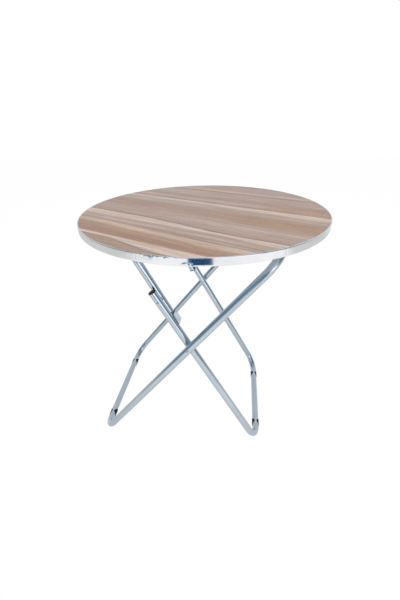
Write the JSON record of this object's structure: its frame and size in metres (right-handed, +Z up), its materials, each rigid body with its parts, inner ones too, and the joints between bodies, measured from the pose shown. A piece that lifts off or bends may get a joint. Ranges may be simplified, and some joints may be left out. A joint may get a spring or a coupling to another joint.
{
  "type": "round folding dining table",
  "caption": "Round dining table on a scissor of bent metal tubes that folds flat under its metal-edged, wood-pattern top.",
  "frame": {"origin": "on the floor under the middle of the top", "axes": "+X from the outer frame's floor bar to the inner frame's floor bar, +Y along the floor bars to the rear, +Z up"},
  "size_m": [0.7, 0.7, 0.745],
  "materials": {
    "board": "particle board with a white backing paper on the underside",
    "laminate": "satin laminate in a plank pattern, grey brown with cream streaks",
    "strip": "bright rolled strip with lapped joints",
    "tube": "bright plated steel, cool grey",
    "plate": "plated sheet steel",
    "rivet": "plated steel",
    "screw": "plated steel",
    "spacer": "light grey nylon",
    "clip": "black moulded plastic",
    "cap": "black moulded plastic"
  },
  "bodies": {
    "top": {"board_core": "board", "laminate_sheet": "laminate", "edge_strip": "strip", "outer_hinge_clip_front": "clip", "outer_hinge_clip_rear": "clip", "support_hinge_clip_front": "clip", "support_hinge_clip_rear": "clip", "outer_hinge_screws": "screw", "support_hinge_screws": "screw"},
    "outer_frame": {"outer_frame_tube": "tube", "scissor_rivet_front": "rivet", "scissor_rivet_rear": "rivet", "scissor_spacer_front": "spacer", "scissor_spacer_rear": "spacer", "outer_glide_front": "cap", "outer_glide_rear": "cap"},
    "inner_frame": {"inner_frame_tube": "tube", "scissor_rivet_end_front": "rivet", "scissor_rivet_end_rear": "rivet", "inner_end_cap_front": "cap", "inner_end_cap_rear": "cap", "inner_glide_front": "cap", "inner_glide_rear": "cap"},
    "support_frame": {"support_frame_tube": "tube", "toggle_rivet_front": "rivet", "toggle_rivet_rear": "rivet", "toggle_spacer_front": "spacer", "toggle_spacer_rear": "spacer", "stop_plate_front": "plate", "stop_plate_rear": "plate", "tail_cap_front": "cap", "tail_cap_rear": "cap"}
  },
  "joints": [
    {"name": "outer_fold", "type": "hinge", "parent": "top", "child": "outer_frame", "pos_m": [0.21689, 0, 0.71], "axis": [0, 1, 0], "range_deg": [0, 52.09]},
    {"name": "support_fold", "type": "hinge", "parent": "top", "child": "support_frame", "pos_m": [-0.1811, 0, 0.71], "axis": [0, 1, 0], "range_deg": [-61.81, 0]},
    {"name": "inner_fold", "type": "hinge", "parent": "support_frame", "child": "inner_frame", "pos_m": [-0.09591, 0, 0.55111], "axis": [0, 1, 0], "range_deg": [0, 181.5]}
  ],
  "couplings": [
    {"joint": "support_fold", "follows": "outer_fold", "ratio": -1.1865},
    {"joint": "inner_fold", "follows": "outer_fold", "ratio": 3.4847}
  ]
}
